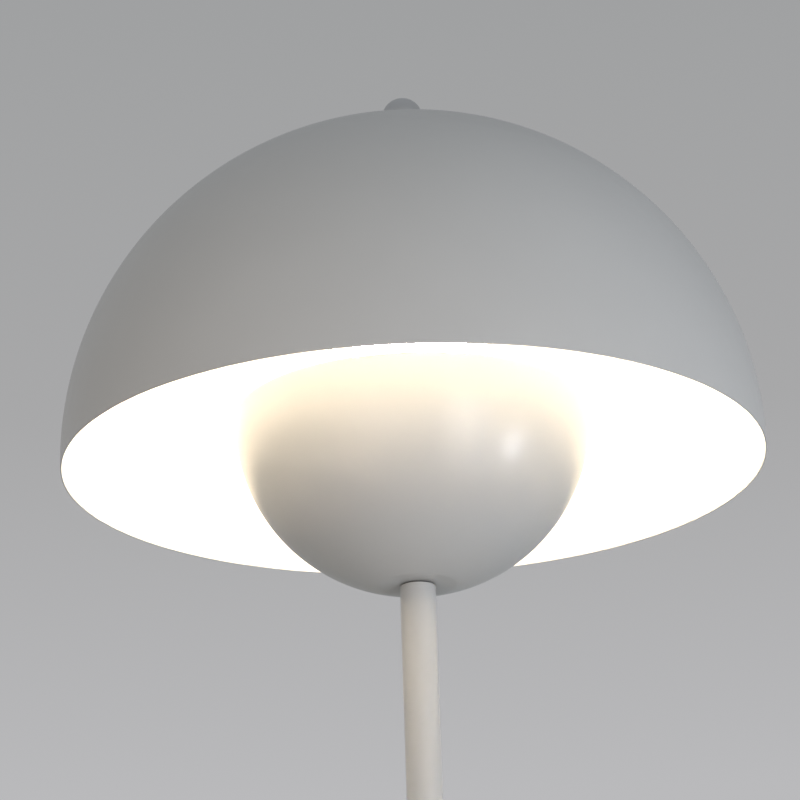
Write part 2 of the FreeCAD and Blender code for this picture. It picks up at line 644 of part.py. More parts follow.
# ================================================================ bulb
def bulb_form(inset):
    """Pear form of the glass: ball, straight taper tangent to it, and a blend into the neck."""
    flare = math.radians(BULB_FLARE_ANGLE)
    ball = BULB_RADIUS - inset
    centre = TIP_Z + BULB_LENGTH - BULB_RADIUS
    neck = BULB_NECK_RADIUS - inset
    blend = BULB_NECK_BLEND + inset
    taper_top = (ball * math.cos(flare), centre - ball * math.sin(flare))
    taper_foot_radius = neck + blend * (1 - math.cos(flare))
    taper_foot_z = taper_top[1] - (taper_top[0] - taper_foot_radius) / math.tan(flare)
    blend_centre_radius = neck + blend
    blend_centre_z = taper_foot_z - blend * math.sin(flare)
    blend_middle = (blend_centre_radius - blend * math.cos(flare / 2), blend_centre_z + blend * math.sin(flare / 2))
    bottom = TIP_Z + LAMP_CAP_TOP - BULB_NECK_INSERT
    return Outline(0, bottom).line(neck, bottom).line(neck, blend_centre_z).arc(
        blend_middle, (taper_foot_radius, taper_foot_z)).line(*taper_top).arc(
        on_circle(centre, ball, 30), (0, centre + ball)).turn()


def bulb_glass():
    return bulb_form(0).cut(bulb_form(GLASS_WALL))


def bulb_cap():
    """Screw cap of the bulb: a thin cup, tapered in at its foot."""
    bottom = TIP_Z + TIP_HEIGHT + INSULATOR_HEIGHT
    top = TIP_Z + LAMP_CAP_TOP
    inner = LAMP_CAP_RADIUS - LAMP_CAP_WALL
    return Outline(TIP_RADIUS, bottom).line(INSULATOR_TOP_RADIUS, bottom).line(
        LAMP_CAP_RADIUS, bottom + LAMP_CAP_TAPER).line(LAMP_CAP_RADIUS, top).line(inner, top).line(
        inner, bottom + LAMP_CAP_TAPER).line(INSULATOR_TOP_RADIUS - LAMP_CAP_WALL, bottom + LAMP_CAP_WALL).line(
        TIP_RADIUS, bottom + LAMP_CAP_WALL).turn()


def bulb_insulator():
    bottom = TIP_Z + TIP_HEIGHT
    return Outline(0, bottom).line(TIP_RADIUS, bottom).line(
        INSULATOR_TOP_RADIUS, bottom + INSULATOR_HEIGHT).line(0, bottom + INSULATOR_HEIGHT).turn()


def bulb_contact():
    """Contact pip under the insulator, tapered to a flat tip."""
    top = TIP_Z + TIP_HEIGHT
    return Outline(0, TIP_Z).line(TIP_FLAT_RADIUS, TIP_Z).line(TIP_RADIUS, top).line(0, top).turn()


def filament_foot():
    return TIP_Z + LAMP_CAP_TOP - BULB_NECK_INSERT + MOUNT_DISC_THICKNESS + MOUNT_STEM_HEIGHT


def bulb_mount():
    """Glass stem that closes the neck and carries the filaments on its button."""
    bottom = TIP_Z + LAMP_CAP_TOP - BULB_NECK_INSERT
    disc = BULB_NECK_RADIUS - GLASS_WALL - SNUG
    disc_top = bottom + MOUNT_DISC_THICKNESS
    button = filament_foot() - MOUNT_BUTTON_THICKNESS
    return Outline(0, bottom).line(disc, bottom).line(disc, disc_top).line(
        MOUNT_STEM_RADIUS, disc_top).line(MOUNT_STEM_RADIUS, button).line(
        MOUNT_BUTTON_RADIUS, button).line(MOUNT_BUTTON_RADIUS, filament_foot()).line(
        0, filament_foot()).turn()


def bulb_filaments():
    filament = rod(FILAMENT_RADIUS, FILAMENT_LENGTH, Vector(FILAMENT_CIRCLE, 0, filament_foot()), UP)
    return Part.Compound(around_axis(filament, FILAMENT_COUNT))


# ================================================================ leads
def inner_lead(side):
    """One insulated lead: terminal block, bend up through the base, stem, and lampholder terminal."""
    spread_foot = HOLDER_Z + HOLDER_BOSS_HEIGHT + HOLDER_WALL + LEAD_SPREAD_START
    terminal_foot = HOLDER_BODY_Z - HOLDER_TERMINAL_HEIGHT
    points = [
        Vector(side * TERMINAL_PITCH / 2, TERMINAL_START_Y + LEAD_INTO_BLOCK, LEAD_Z),
        Vector(side * TERMINAL_PITCH / 2, TERMINAL_START_Y / 2, LEAD_Z),
        Vector(side * LEAD_OFFSET, 0, LEAD_Z),
        Vector(side * LEAD_OFFSET, 0, spread_foot),
        Vector(side * HOLDER_TERMINAL_X, 0, spread_foot + LEAD_SPREAD_RISE),
        Vector(side * HOLDER_TERMINAL_X, 0, terminal_foot + LEAD_INTO_TERMINAL),
    ]
    bends = [LEAD_RUN_BEND, LEAD_FOOT_BEND, LEAD_HEAD_BEND, LEAD_HEAD_BEND]
    return bent_rod(points, bends, LEAD_RADIUS)


# ================================================================ all pieces
def pieces():
    """Every separate piece of the lamp, from the floor up, by name."""
    found = {
        "base_pad": base_pad(),
        "base_weight": base_weight(),
        "base_cover": base_cover(),
        "base_nipple": base_nipple(),
        "base_washer": ring(BASE_WASHER_RADIUS, NIPPLE_RADIUS + LOOSE, BASE_WASHER_Z, BASE_WASHER_THICKNESS),
        "base_nut": hex_nut(BASE_NUT_FLATS, BASE_NUT_THICKNESS, NIPPLE_RADIUS + SNUG, BASE_NUT_Z),
        "cord_gland": cord_gland(),
        "gland_nut": gland_nut(),
        "terminal_block": terminal_block(),
        "terminal_screws": terminal_screws(),
        "lead_live": inner_lead(1),
        "lead_neutral": inner_lead(-1),
        "stem_foot_bush": end_bush(BASE_CROWN_Z),
        "stem_lower": stem_tube(BASE_CROWN_Z, STEM_LOWER_LENGTH),
        "joint_plug_lower": joint_plug(SEAM_LOWER_Z),
        "joint_bush_lower": joint_bush(SEAM_LOWER_Z),
        "stem_middle": stem_tube(SEAM_LOWER_Z, STEM_MIDDLE_LENGTH),
        "joint_plug_upper": joint_plug(SEAM_UPPER_Z),
        "joint_bush_upper": joint_bush(SEAM_UPPER_Z),
        "stem_upper": stem_tube(SEAM_UPPER_Z, STEM_UPPER_LENGTH),
        "stem_head_bush": end_bush(STEM_TOP - NIPPLE_SCREW_LENGTH),
        "stem_washer": ring(STEM_WASHER_RADIUS, NIPPLE_RADIUS + LOOSE, STEM_TOP, STEM_WASHER_THICKNESS),
        "bowl": bowl(),
        "head_nipple": head_nipple(),
        "bowl_spacer": ring(SPACER_RADIUS, NIPPLE_RADIUS + LOOSE, BOWL_FLOOR, SPACER_THICKNESS),
        "carrier_ring": carrier_ring(),
        "arm_lower_nuts": arm_nuts(ARM_FOOT_RADIUS, RING_TOP),
        "arm_upper_nuts": arm_nuts(ARM_HEAD_RADIUS, HUB_Z - ARM_NUT_THICKNESS),
        "carrier_hub": carrier_hub(),
        "carrier_stud": rod(STUD_RADIUS, STUD_TOP - HUB_Z, Vector(0, 0, HUB_Z), UP),
        "holder_lock_nut": hex_nut(LOCK_NUT_FLATS, LOCK_NUT_THICKNESS, NIPPLE_RADIUS + SNUG, RING_TOP),
        "holder_cap": holder_cap(),
        "holder_shell": holder_shell(),
        "holder_body": holder_body(),
        "holder_sleeve": holder_sleeve(),
        "holder_contact": holder_contact(),
        "holder_terminals": holder_terminals(),
        "holder_screws": holder_screws(),
        "bulb_glass": bulb_glass(),
        "bulb_mount": bulb_mount(),
        "bulb_filaments": bulb_filaments(),
        "bulb_cap": bulb_cap(),
        "bulb_insulator": bulb_insulator(),
        "bulb_contact": bulb_contact(),
        "shade_seat": ring(SEAT_RADIUS, STUD_RADIUS + LOOSE, SEAT_Z, SEAT_THICKNESS),
        "shade": shade(),
        "finial_washer": ring(FINIAL_WASHER_RADIUS, STUD_RADIUS + LOOSE, SHADE_TOP, FINIAL_WASHER_THICKNESS),
        "finial": finial(),
    }
    for number, arm in enumerate(carrier_arms(), 1):
        found[f"carrier_arm_{number}"] = arm
    return found


os.makedirs("parts", exist_ok=True)
for node, shape in pieces().items():
    shape.exportStep(f"parts/{node}.step")
print(f"overall height {FINIAL_TOP:.1f} mm, shade rim at {SHADE_RIM:.1f} mm, bowl rim at {BOWL_RIM:.1f} mm")
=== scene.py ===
# %% [markdown]
# # A lit mushroom floor lamp
#
# The real lamp is a dome of spun steel over a smaller upturned bowl, on a slim tube with a heavy round
# base.  The dome is painted grey outside and white inside, and an opal bulb stands in the bowl, so all
# the light leaves by way of the white wall.  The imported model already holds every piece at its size.
# This notebook gives those pieces their finish: smooth turned skins where the model has facets, a
# material for each thing that the lamp is made of, and a plain studio to see it in.

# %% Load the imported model
import math

import bmesh
import bpy
import numpy as np
from mathutils import Matrix, Vector


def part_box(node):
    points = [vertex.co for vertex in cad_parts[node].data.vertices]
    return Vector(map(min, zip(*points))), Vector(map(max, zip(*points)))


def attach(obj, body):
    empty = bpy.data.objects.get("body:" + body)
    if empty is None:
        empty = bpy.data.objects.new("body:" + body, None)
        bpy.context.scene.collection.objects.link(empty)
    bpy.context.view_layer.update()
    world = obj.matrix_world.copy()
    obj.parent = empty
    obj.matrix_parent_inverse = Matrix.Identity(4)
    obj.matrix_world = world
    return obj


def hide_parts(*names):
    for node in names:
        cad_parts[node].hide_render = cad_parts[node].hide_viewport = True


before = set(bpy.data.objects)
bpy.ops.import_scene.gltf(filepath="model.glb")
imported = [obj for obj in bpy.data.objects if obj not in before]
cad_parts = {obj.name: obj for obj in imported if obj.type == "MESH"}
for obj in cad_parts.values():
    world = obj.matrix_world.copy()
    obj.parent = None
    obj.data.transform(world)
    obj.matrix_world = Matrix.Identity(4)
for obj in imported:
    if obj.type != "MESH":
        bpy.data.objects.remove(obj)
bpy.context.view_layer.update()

MM = 0.001                                   # one millimetre in the scene's metres
scene = bpy.context.scene

# %% [markdown]
# ## The camera
#
# The picture looks up at the head of the lamp from below its rim with a long lens, so the dome's rim
# is a flat ellipse and the base is out of sight.  A camera matrix has the camera's right, up and
# backward directions in its columns.  The three angles turn it from level: yaw about the vertical,
# pitch upwards, and roll about the line of sight.

# %% The camera
PICTURE_PIXELS = 800
FOCAL_PIXELS = 3727.7                        # focal length, counted in pixels of the picture
SENSOR_MM = 36.0
CAMERA_DISTANCE = 1.800                      # from the stem's axis
CAMERA_BELOW_RIM = 0.6192
YAW, PITCH, ROLL = (math.radians(a) for a in (-0.19, 20.05, -1.84))


def camera_matrix(place, yaw, pitch, roll):
    """Columns: right, up, backward, place.  Forward is (sin yaw cos pitch, cos yaw cos pitch, sin pitch)."""
    forward = Vector((math.sin(yaw) * math.cos(pitch), math.cos(yaw) * math.cos(pitch), math.sin(pitch)))
    level = Vector((math.cos(yaw), -math.sin(yaw), 0.0))
    upward = level.cross(forward)
    right = level * math.cos(roll) + upward * math.sin(roll)
    up = upward * math.cos(roll) - level * math.sin(roll)
    columns = Matrix((right, up, -forward)).transposed().to_4x4()
    return Matrix.Translation(place) @ columns


shade_low, shade_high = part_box("shade")
camera = bpy.data.objects.new("camera", bpy.data.cameras.new("camera"))
camera.data.sensor_width = SENSOR_MM
camera.data.lens = FOCAL_PIXELS / PICTURE_PIXELS * SENSOR_MM
camera.data.clip_end = 200.0
camera.matrix_world = camera_matrix(
    Vector((0.0, -CAMERA_DISTANCE, shade_low.z - CAMERA_BELOW_RIM)), YAW, PITCH, ROLL)
scene.collection.objects.link(camera)
scene.camera = camera
print("lens:", round(camera.data.lens, 1), "mm")

# %% [markdown]
# ## Colours and nodes
#
# Colours are written as the sRGB hex values that a paint chart gives, and one function turns them into
# the linear values that the shader counts in.  Another function adds a node, sets it and links it, so
# each material below reads as a short list of what it does.


# %% Colours and nodes
def linear(hex_colour):
    """Linear colour of "#RRGGBB": c / 12.92 up to 0.04045, and ((c + 0.055) / 1.055) ** 2.4 above."""
    channels = np.array([int(hex_colour[i:i + 2], 16) for i in (1, 3, 5)]) / 255
    values = np.where(channels <= 0.04045, channels / 12.92, ((channels + 0.055) / 1.055) ** 2.4)
    return (*values.tolist(), 1.0)


def add(tree, kind, inputs, **settings):
    """Adds a node.  A socket given as an input is linked, and any other value is set on the input."""
    node = tree.nodes.new(kind)
    for name, value in settings.items():
        setattr(node, name, value)
    for name, value in inputs.items():
        if isinstance(value, bpy.types.NodeSocket):
            tree.links.new(value, node.inputs[name])
        else:
            node.inputs[name].default_value = value
    return node


def noise(tree, size_mm, detail=2.0, stretch=(1.0, 1.0, 1.0)):
    """A noise whose lumps are size_mm across: its scale is one over the size in metres."""
    spot = add(tree, "ShaderNodeTexCoord", {}).outputs["Object"]
    drawn_out = add(tree, "ShaderNodeMapping", {"Vector": spot, "Scale": stretch}).outputs["Vector"]
    return add(tree, "ShaderNodeTexNoise",
               {"Vector": drawn_out, "Scale": 1 / (size_mm * MM), "Detail": detail}).outputs["Fac"]


NOISE_LOW, NOISE_HIGH = 0.3, 0.7             # nearly all of a noise's values lie between these


def spread(tree, value, low, high):
    """Maps the middle of a noise, NOISE_LOW to NOISE_HIGH, on to low to high."""
    return add(tree, "ShaderNodeMapRange", {
        "Value": value, "From Min": NOISE_LOW, "From Max": NOISE_HIGH, "To Min": low, "To Max": high,
    }).outputs["Result"]


# %% [markdown]
# ## One recipe for a finish
#
# Nothing is one flat colour.  Paint, plating and plastic all wander a little in tone over a hand's
# width, in gloss over a finger's width, and in height over about a millimetre.  The recipe below takes
# those three sizes and amounts, so a material is a line of numbers that come from the real thing.
#
# The grain of moulded plastic, wire and brushed plate is really a tenth of a millimetre or finer.  It is
# drawn two to five times coarser here, because a picture of a lamp can't hold it at its true size.


# %% One recipe for a finish
def finish(name, colour, roughness, metallic=0.0, tone=0.02, tone_mm=45.0, gloss=0.06, gloss_mm=9.0,
           relief_um=4.0, relief_mm=1.2, stretch=(1.0, 1.0, 1.0), **sockets):
    """A principled surface with slow tone, medium gloss and fine relief.

    tone is the share by which the colour darkens and lightens, gloss the same for the roughness, and
    relief_um the height in thousandths of a millimetre of lumps that are relief_mm across.  Any other
    name is a socket of the shader, with its spaces written as underscores.
    """
    material = bpy.data.materials.new(name)
    material.use_nodes = True
    tree = material.node_tree
    tree.nodes.clear()
    base = linear(colour)
    ramp = add(tree, "ShaderNodeValToRGB", {"Fac": spread(tree, noise(tree, tone_mm), 0.0, 1.0)})
    for stop, share in zip(ramp.color_ramp.elements, (1 - tone, 1 + tone)):
        stop.color = (*(min(1.0, c * share) for c in base[:3]), 1.0)
    rough = spread(tree, noise(tree, gloss_mm), roughness * (1 - gloss), roughness * (1 + gloss))
    bump = add(tree, "ShaderNodeBump", {
        "Height": noise(tree, relief_mm, 3.0, stretch), "Strength": 1.0, "Distance": relief_um * MM * MM})
    surface = add(tree, "ShaderNodeBsdfPrincipled", {
        "Base Color": ramp.outputs["Color"], "Roughness": rough, "Metallic": metallic,
        "Normal": bump.outputs["Normal"]})
    for socket, value in sockets.items():
        surface.inputs[socket.replace("_", " ")].default_value = value
    add(tree, "ShaderNodeOutputMaterial", {"Surface": surface.outputs["BSDF"]})
    return material


# %% [markdown]
# ## Paint on the steel
#
# The outside is baked powder coat.  The powder melts and flows but never quite levels, which leaves
# lumps a millimetre or so across, and they break up every reflection of a lamp or window, so the bright
# mark on the bowl has a soft edge.  The inside is a white enamel of about the same gloss.  Its work is
# to send light back out, and it has less tone and less peel, so it looks clean where it isn't glowing.

# %% Paint on the steel
PEEL_MM = 1.4                                # width of the lumps of orange peel
grey_powder_coat = finish("grey_powder_coat", "#B2B2B1", 0.30, tone=0.015, tone_mm=70,
                          relief_um=7, relief_mm=PEEL_MM)
white_enamel = finish("white_enamel", "#F3F1EC", 0.34, tone=0.01, tone_mm=60, relief_um=4, relief_mm=PEEL_MM)

# %% [markdown]
# ## Metals
#
# The domed nut and its washer are nickel plate, brushed before plating, so they are bright but blurred.
# Nuts, tubes and bushes out of sight are zinc plate, which is bluer and clouded in patches a few
# millimetres wide, so a nut never mirrors its neighbour.  The weight is a rough sand casting that drinks
# the light, and its lumps are the size of the sand.  Brass contacts are smooth and yellow, the bulb's cap
# is a warmer and duller nickel than the nut, and solder is grey with the dents of its last touch.

# %% Metals
satin_nickel = finish("satin_nickel", "#CDCFD0", 0.36, 1.0, tone=0.02, tone_mm=8, relief_um=0.6,
                      relief_mm=0.3, stretch=(1, 1, 8))
zinc_plate = finish("zinc_plate", "#B4B8BB", 0.36, 1.0, tone=0.08, tone_mm=5, gloss=0.2, relief_um=1.5,
                    relief_mm=0.4)
sand_cast_iron = finish("sand_cast_iron", "#3B3937", 0.72, 0.6, tone=0.2, tone_mm=12, relief_um=90,
                        relief_mm=1.5)
brass = finish("brass", "#C9A45B", 0.26, 1.0, tone=0.05, tone_mm=6, relief_um=0.8, relief_mm=0.4)
cap_nickel = finish("cap_nickel", "#B9B6AD", 0.30, 1.0, tone=0.04, tone_mm=6, relief_um=1.0, relief_mm=0.5)
solder = finish("solder", "#A9AAA7", 0.42, 1.0, tone=0.08, tone_mm=2, relief_um=25, relief_mm=1.0)

# %% [markdown]
# ## Plastics, rubber and glass
#
# Moulded plastic takes the satin of its mould, and the holder's is a little glossier than nylon.  Rubber
# is dull and speckled, and fibre washers duller still.  The leads' sheath has a waxy shine.  The bulb's
# opal glass is milk white and evenly bright when lit, and its surface is still glossy.  The clear glass
# of its stem and the black glass in its cap are smooth and only show sharp glints, and the coating of
# its filaments is a matt yellow powder.

# %% Plastics, rubber and glass
LAMP_GLOW = 78.0                             # radiance of the lit glass, where white paper is about 1
pad_rubber = finish("pad_rubber", "#232324", 0.80, tone=0.12, tone_mm=10, relief_um=18, relief_mm=0.7)
grey_nylon = finish("grey_nylon", "#B5B5B3", 0.48, relief_um=5, relief_mm=0.5)
white_nylon = finish("white_nylon", "#E6E4DC", 0.46, relief_um=4, relief_mm=0.5)
black_fibre = finish("black_fibre", "#2A2A2A", 0.70, tone=0.1, tone_mm=3, relief_um=12, relief_mm=0.4)
white_thermoplastic = finish("white_thermoplastic", "#E9E7E0", 0.38, relief_um=4, relief_mm=0.6)
brown_pvc = finish("brown_pvc", "#57341F", 0.42, relief_um=3, relief_mm=0.6)
blue_pvc = finish("blue_pvc", "#2C58A0", 0.42, relief_um=3, relief_mm=0.6)
opal_glass = finish("opal_glass", "#F6F1E4", 0.16, relief_um=0.5, relief_mm=2.0,
                    Emission_Color=linear("#FFEDD2"), Emission_Strength=LAMP_GLOW)
clear_glass = finish("clear_glass", "#F2F6F4", 0.03, relief_um=0.5, relief_mm=2.0, Transmission_Weight=1.0)
black_glass = finish("black_glass", "#101012", 0.12, relief_um=1.0, relief_mm=1.0)
phosphor = finish("phosphor", "#EFC24A", 0.55, relief_um=20, relief_mm=0.3)
print("materials:", len(bpy.data.materials))

# %% [markdown]
# ## From a half-section to a surface
#
# Nearly every piece of this lamp is turned or spun, so it is drawn as the real one is specified: as a
# half-section, in millimetres from the axis and from the piece's lowest point.  Corners carry the small
# round that a press, a lathe or a coat of paint leaves, because that round is what catches the light.


# %% Lines in a half-section
def unit(vector):
    """The vector, or each row of vectors, divided by its length."""
    return vector / np.linalg.norm(vector, axis=-1, keepdims=True)


def arc(centre_r, centre_z, radius, start, end, steps):
    """Points (centre + radius (cos a, sin a)) for angles a in degrees from start to end."""
    angles = np.radians(np.linspace(start, end, steps + 1))
    return np.column_stack((centre_r + radius * np.cos(angles), centre_z + radius * np.sin(angles)))


def rounded(corners, steps=6):
    """Closed line through corners (r, z, round), with a tangent arc in place of each rounded corner.

    With a half angle h between a corner's sides, the arc starts round / tan h from the corner and its
    centre is round / sin h away along the bisector.  One more point a little way down each side keeps
    the shading of the flat side out of the corner.
    """
    spots = np.array([corner[:2] for corner in corners], float)
    line = []
    for i, (spot, (_, _, radius)) in enumerate(zip(spots, corners)):
        back = spots[i - 1] - spot
        ahead = spots[(i + 1) % len(spots)] - spot
        if radius == 0:
            line.append(spot[None])
            continue
        back, ahead = unit(back), unit(ahead)
        half = math.acos(np.clip(back @ ahead, -1, 1)) / 2
        centre = spot + unit(back + ahead) * radius / math.sin(half)
        reach = radius / math.tan(half)
        first, last = spot + back * reach - centre, spot + ahead * reach - centre
        sweep = math.pi - 2 * half
        share = np.linspace(0, 1, steps + 1)[:, None]
        bend = (np.sin((1 - share) * sweep) * first + np.sin(share * sweep) * last) / math.sin(sweep)
        hold = 0.4 * reach
        line += [spot[None] + back * (reach + hold), centre + bend, spot[None] + ahead * (reach + hold)]
    return np.concatenate(line)


def walled(line, wall, steps=6):
    """Closed section of sheet metal: the line, its copy one wall to the left, and half-round edges.

    Left of a step (dr, dz) is (-dz, dr).  Each edge reaches half a wall past the end of the line.
    """
    along = unit(np.gradient(line, axis=0))
    left = np.column_stack((-along[:, 1], along[:, 0])) * wall
    turn = np.linspace(0, math.pi, steps + 1)[1:-1, None]
    edge_out = line[-1] + left[-1] / 2 + along[-1] * wall / 2 * np.sin(turn) - left[-1] / 2 * np.cos(turn)
    edge_in = line[0] + left[0] / 2 - along[0] * wall / 2 * np.sin(turn) + left[0] / 2 * np.cos(turn)
    return np.concatenate((line, edge_out, (line + left)[::-1], edge_in))


# %% [markdown]
# ## From a line to a mesh
#
# Turning a line gives a grid of points.  The grid is made into quads all at once, points that meet on
# the axis are merged, and the faces are then turned outwards.  Edges sharper than 35 degrees stay
# sharp, and everything else is shaded smooth.

# %% Surfaces from lines
AROUND = 192                                 # steps round a large turned piece
AROUND_SMALL = 72                            # steps round a small one, a multiple of a hexagon's 6
AROUND_CUP = 2 * AROUND_SMALL                # steps round the domed nut and the lampholder
AROUND_ROD = AROUND_SMALL // 2               # steps round a thin rod
SHARP_ANGLE = math.radians(35)
MERGE_DISTANCE = 1e-7


def turn(line, columns):
    """Grid of points (r cos a, r sin a, z) in millimetres, for each point of a line and each angle a."""
    angles = np.arange(columns) * 2 * math.pi / columns
    r, z = line[:, :1], line[:, 1:]
    return np.stack((r * np.cos(angles), r * np.sin(angles), z + 0 * angles), axis=-1)


def turned_about_z(points, degrees):
    """The points turned about the lamp's axis: (x cos a - y sin a, x sin a + y cos a, z)."""
    a = math.radians(degrees)
    return points @ np.array([[math.cos(a), math.sin(a), 0], [-math.sin(a), math.cos(a), 0], [0, 0, 1]])


def mesh_of(name, grids, closed_rows=True, paint=None):
    """One mesh of quads over grids of points in millimetres, each grid closed round its columns.

    closed_rows joins each grid's last row to its first.  paint is the material's number for each row.
    """
    corners, numbers, first = [], [], 0
    for grid in grids:
        rows, columns = grid.shape[:2]
        index = first + np.arange(rows * columns).reshape(rows, columns)
        index = np.hstack((index, index[:, :1]))
        if closed_rows:
            index = np.vstack((index, index[:1]))
        quads = np.stack((index[:-1, :-1], index[:-1, 1:], index[1:, 1:], index[1:, :-1]), axis=-1)
        corners.append(quads.reshape(-1, 4))
        numbers.append(np.repeat(np.zeros(len(quads), int) if paint is None else paint, columns))
        first += rows * columns
    mesh = bpy.data.meshes.new(name)
    points = np.concatenate([grid.reshape(-1, 3) for grid in grids]) * MM
    mesh.from_pydata(points.tolist(), [], np.concatenate(corners).tolist())
    mesh.polygons.foreach_set("material_index", np.concatenate(numbers).astype(np.int32))
    work = bmesh.new()
    work.from_mesh(mesh)
    bmesh.ops.remove_doubles(work, verts=work.verts, dist=MERGE_DISTANCE)
    bmesh.ops.recalc_face_normals(work, faces=work.faces)
    work.to_mesh(mesh)
    work.free()
    mesh.shade_smooth()
    mesh.set_sharp_from_angle(angle=SHARP_ANGLE)
    return mesh


def place(mesh, body, slot, nodes, *materials):
    """Puts a finished mesh in the scene, on its body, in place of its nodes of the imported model."""
    for material in materials:
        mesh.materials.append(material)
    piece = bpy.data.objects.new(mesh.name, mesh)
    scene.collection.objects.link(piece)
    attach(piece, body)
    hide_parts(*nodes)
    print(f"{mesh.name}: {len(mesh.polygons)} faces, stands for {', '.join(nodes)}")


def box_mm(node):
    """A node's outer radius, lowest height and highest height, in millimetres."""
    low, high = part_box(node)
    return (high.x - low.x) / 2 / MM, low.z / MM, high.z / MM


# %% [markdown]
# ## The shade
#
# The shade is spun from a steel disc over a hemispherical former, then trimmed.  The former leaves a
# short straight band under the curve, and the trimmed edge is dressed round.  The outside and most of
# the edge are grey, and white starts at the inner side of the edge.  On such a lamp the white covers
# the whole inside.  Here it stops halfway up, and the crown's inside is drawn in the outside's grey.

# %% The shade
SHADE_WALL = 1.0
SHADE_HOLE = 3.6                             # radius of the hole for the stud
SHADE_FLAT = 15.0                            # radius of the flat that the nut's washer presses on
EDGE_ROWS = 3                                # rows of the rim's round edge that are still grey


def white_rows(section, outside):
    """Paint number of each row of a walled section: 1 for white enamel, 0 for grey powder coat.

    White starts halfway between the end of the outside and the end of the section, and both of its
    ends are moved back by EDGE_ROWS.
    """
    rows = np.arange(len(section))
    halfway = (len(section) + len(outside)) // 2
    return ((rows >= halfway - EDGE_ROWS) & (rows < len(section) - EDGE_ROWS)).astype(int)


shade_radius, shade_rim, shade_top = box_mm("shade")
shade_centre = shade_top - math.sqrt(shade_radius ** 2 - SHADE_FLAT ** 2)
crown_angle = 90 - math.degrees(math.asin(SHADE_FLAT / shade_radius))
shade_outside = np.concatenate((
    np.array([(shade_radius, shade_rim + SHADE_WALL / 2), (shade_radius, shade_rim + 2 * SHADE_WALL)]),
    arc(0, shade_centre, shade_radius, 0, crown_angle, 90),
    np.array([(SHADE_FLAT / 2, shade_top), (SHADE_HOLE + SHADE_WALL / 2, shade_top)])))
shade_section = walled(shade_outside, SHADE_WALL)
shade_paint = white_rows(shade_section, shade_outside)
place(mesh_of("shade_shell", [turn(shade_section, AROUND)], paint=shade_paint),
      "shade", "shade_paint", ["shade"], grey_powder_coat, white_enamel)

# %% [markdown]
# ## The bowl
#
# The bowl is the same spinning at half the size, turned the other way up.  It hides the bulb from
# anyone who looks up at the lamp, and it sends the light up into the shade.  It is painted by the same
# rule as the shade, which puts the white on the lower half of its inside.

# %% The bowl
BOWL_WALL = 1.0
BOWL_HOLE = 5.3                              # for the hollow nipple that the head is screwed to
BOWL_FLAT = 20.0                             # radius of the flat that the stem's end presses on
bowl_radius, bowl_pole, bowl_rim = box_mm("bowl")
bowl_centre = bowl_pole + math.sqrt(bowl_radius ** 2 - BOWL_FLAT ** 2)
pole_angle = math.degrees(math.asin(BOWL_FLAT / bowl_radius)) - 90
bowl_outside = np.concatenate((
    np.array([(BOWL_HOLE + BOWL_WALL / 2, bowl_pole), (BOWL_FLAT - BOWL_WALL, bowl_pole)]),
    arc(0, bowl_centre, bowl_radius, pole_angle, 0, 72),
    np.array([(bowl_radius, bowl_rim - 2 * BOWL_WALL), (bowl_radius, bowl_rim - BOWL_WALL / 2)])))
bowl_section = walled(bowl_outside, BOWL_WALL)
bowl_paint = white_rows(bowl_section, bowl_outside)
place(mesh_of("bowl_shell", [turn(bowl_section, AROUND)], paint=bowl_paint),
      "stand", "body_paint", ["bowl"], grey_powder_coat, white_enamel)

# %% [markdown]
# ## Plain turned rings
#
# The stem's tubes, the washers, the spacer and the carrier's two discs are all rings with eased edges.
# They differ only in bore, in the ease of the edge and in what they are made of.


# %% Plain turned rings
def ring_section(outer, bore, low, high, ease):
    """A rectangle with eased corners, from the bore out to the outer radius."""
    return rounded([(bore, low, ease), (outer, low, ease), (outer, high, ease), (bore, high, ease)])


def turned_ring(name, node, body, slot, bore, ease, material):
    """A ring with the outer radius and heights of its node, and the bore and eased edges given."""
    outer, low, high = box_mm(node)
    section = ring_section(outer, bore, low, high, ease)
    place(mesh_of(name, [turn(section, AROUND_SMALL)]), body, slot, [node], material)


# A stamped washer keeps a nearly sharp edge, and a turned or painted disc has a softer one.
TUBE_BORE = 7.8                              # this and the holes below are radii
TUBE_EASE = 0.35
NIPPLE_HOLE = 5.3                            # clears the hollow nipple
STUD_TAPPED = 3.05                           # takes the stud's thread
STUD_HOLE = 3.3                              # clears the stud
for part in ("lower", "middle", "upper"):
    turned_ring(f"{part}_tube", f"stem_{part}", "stand", "body_paint", TUBE_BORE, TUBE_EASE, grey_powder_coat)
turned_ring("pinched_washer", "stem_washer", "stand", "washer_plastic", NIPPLE_HOLE, 0.15, black_fibre)
turned_ring("spacer_sleeve", "bowl_spacer", "stand", "zinc_steel", NIPPLE_HOLE, 0.4, zinc_plate)
turned_ring("ring_plate", "carrier_ring", "stand", "carrier_paint", NIPPLE_HOLE, 0.5, white_enamel)
turned_ring("hub_disc", "carrier_hub", "stand", "carrier_paint", STUD_TAPPED, 0.8, white_enamel)
turned_ring("seat_disc", "shade_seat", "stand", "seat_nylon", STUD_HOLE, 0.3, white_nylon)
turned_ring("nut_washer", "finial_washer", "shade", "polished_nickel", STUD_HOLE, 0.25, satin_nickel)

# %% [markdown]
# ## The domed nut
#
# The nut on top is turned from bar: a narrow foot so that it sits on its washer and clears the paint,
# a short flare, a straight band for the fingers, and a half-round top.  It is drawn from the bottom of
# its bore, round the outside, to the top of its dome, so both ends of the line are on the axis.

